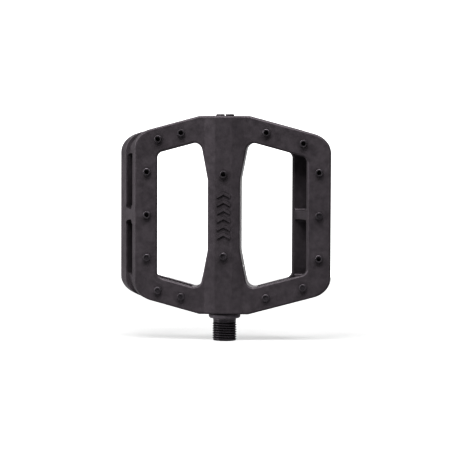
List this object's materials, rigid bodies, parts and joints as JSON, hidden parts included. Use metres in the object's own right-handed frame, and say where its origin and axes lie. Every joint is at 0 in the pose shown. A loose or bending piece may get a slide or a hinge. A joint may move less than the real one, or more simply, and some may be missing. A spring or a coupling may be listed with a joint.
{
  "type": "flat pedal",
  "caption": "Platform bicycle pedal with a moulded body, two windows, screwed traction pins on both faces and a threaded spindle that turns in a bush and a ball bearing.",
  "frame": {"origin": "centre of the threaded end's face, on the spindle's axis", "axes": "+Z along the spindle from the threaded inboard end to the outboard end cap; +X along the length of the foot; the two tread faces look along -Y and +Y"},
  "size_m": [0.1124, 0.023, 0.1198],
  "materials": {
    "glass_nylon": "matte black moulded glass-filled nylon with a fine grain",
    "spindle_steel": "black-oxide forged steel, satin, slightly oiled",
    "pin_steel": "black-oxide alloy steel set screws, satin",
    "bearing_steel": "ground and polished bearing steel",
    "cage_steel": "pressed steel, satin",
    "bush_bronze": "sintered bronze, satin, oiled",
    "zinc_steel": "zinc-plated steel",
    "insert_nylon": "blue nylon",
    "seal_rubber": "black nitrile rubber",
    "cap_plastic": "matte black moulded nylon"
  },
  "bodies": {
    "spindle": {"spindle": "spindle_steel", "bearing_inner_race": "bearing_steel", "bearing_washer": "zinc_steel", "lock_nut": "zinc_steel", "lock_nut_insert": "insert_nylon"},
    "platform": {"platform_body": "glass_nylon", "inboard_seal": "seal_rubber", "inboard_bush": "bush_bronze", "bearing_outer_race": "bearing_steel", "bearing_shields": "seal_rubber", "end_cap": "cap_plastic", "end_cap_o_ring": "seal_rubber", "front_pins_left_rail": "pin_steel", "front_pins_right_rail": "pin_steel", "front_pins_upper_rail": "pin_steel", "front_pins_lower_rail": "pin_steel", "front_pins_spine": "pin_steel", "back_pins_left_rail": "pin_steel", "back_pins_right_rail": "pin_steel", "back_pins_upper_rail": "pin_steel", "back_pins_lower_rail": "pin_steel", "back_pins_spine": "pin_steel"},
    "bearing_cage_set": {"bearing_cage": "cage_steel", "bearing_balls": "bearing_steel"}
  },
  "joints": [
    {"name": "platform_spin", "type": "hinge", "parent": "spindle", "child": "platform", "pos_m": [0, 0, 0.06655], "axis": [0, 0, 1], "continuous": true},
    {"name": "cage_spin", "type": "hinge", "parent": "spindle", "child": "bearing_cage_set", "pos_m": [0, 0, 0.10395], "axis": [0, 0, 1], "continuous": true}
  ],
  "couplings": [
    {"joint": "cage_spin", "follows": "platform_spin", "ratio": 0.59479}
  ]
}
